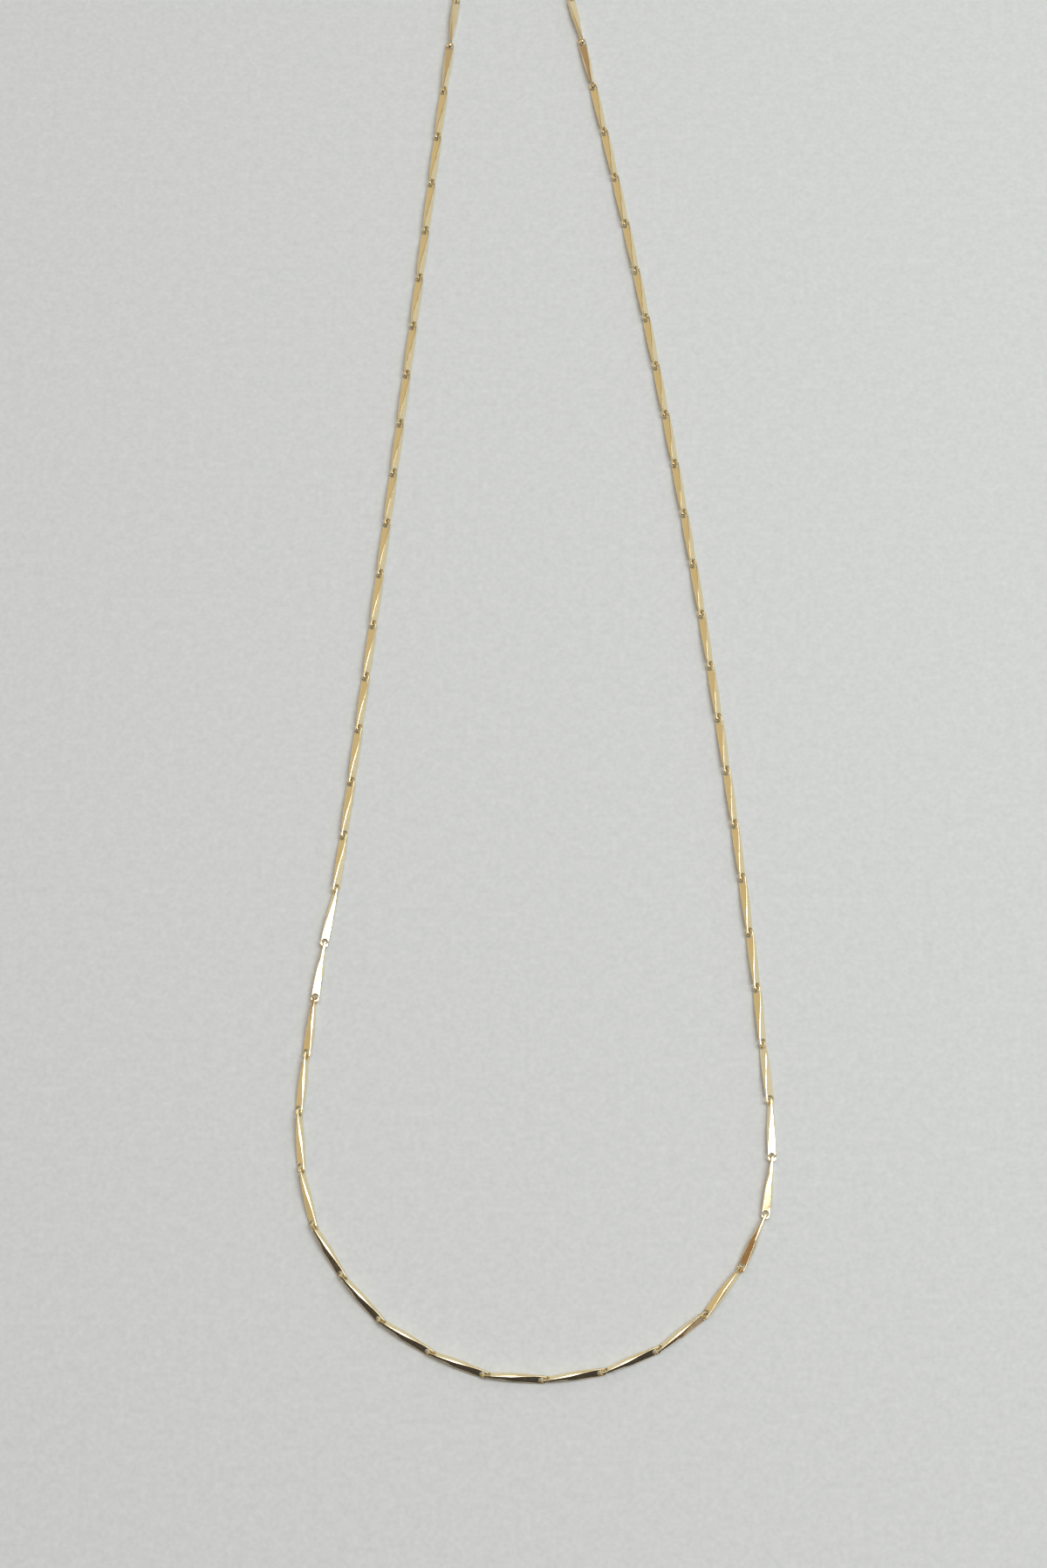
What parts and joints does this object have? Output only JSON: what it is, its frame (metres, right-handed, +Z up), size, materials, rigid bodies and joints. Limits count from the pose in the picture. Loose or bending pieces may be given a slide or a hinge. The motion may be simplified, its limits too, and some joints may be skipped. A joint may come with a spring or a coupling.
{
  "type": "bar link chain necklace",
  "caption": "Gold-tone necklace of slim round bar links pressed flat into crossed eyes, clasped into a loop and laid in a teardrop.",
  "frame": {"origin": "centre of the necklace's bounding box, on the surface it lies on", "axes": "+X to the right across the loop, +Y from the round bottom of the loop to the clasp, +Z up from the surface"},
  "size_m": [0.06, 0.2093, 0.0011],
  "materials": {
    "link_gold": "polished pale gold layer on brass",
    "ring_gold": "polished pale gold wire",
    "clasp_gold": "polished pale gold layer on brass"
  },
  "bodies": {
    "root": {"chain": "link_gold", "clasp_ring": "ring_gold", "clasp": "clasp_gold", "catch_ring": "ring_gold"}
  },
  "joints": []
}
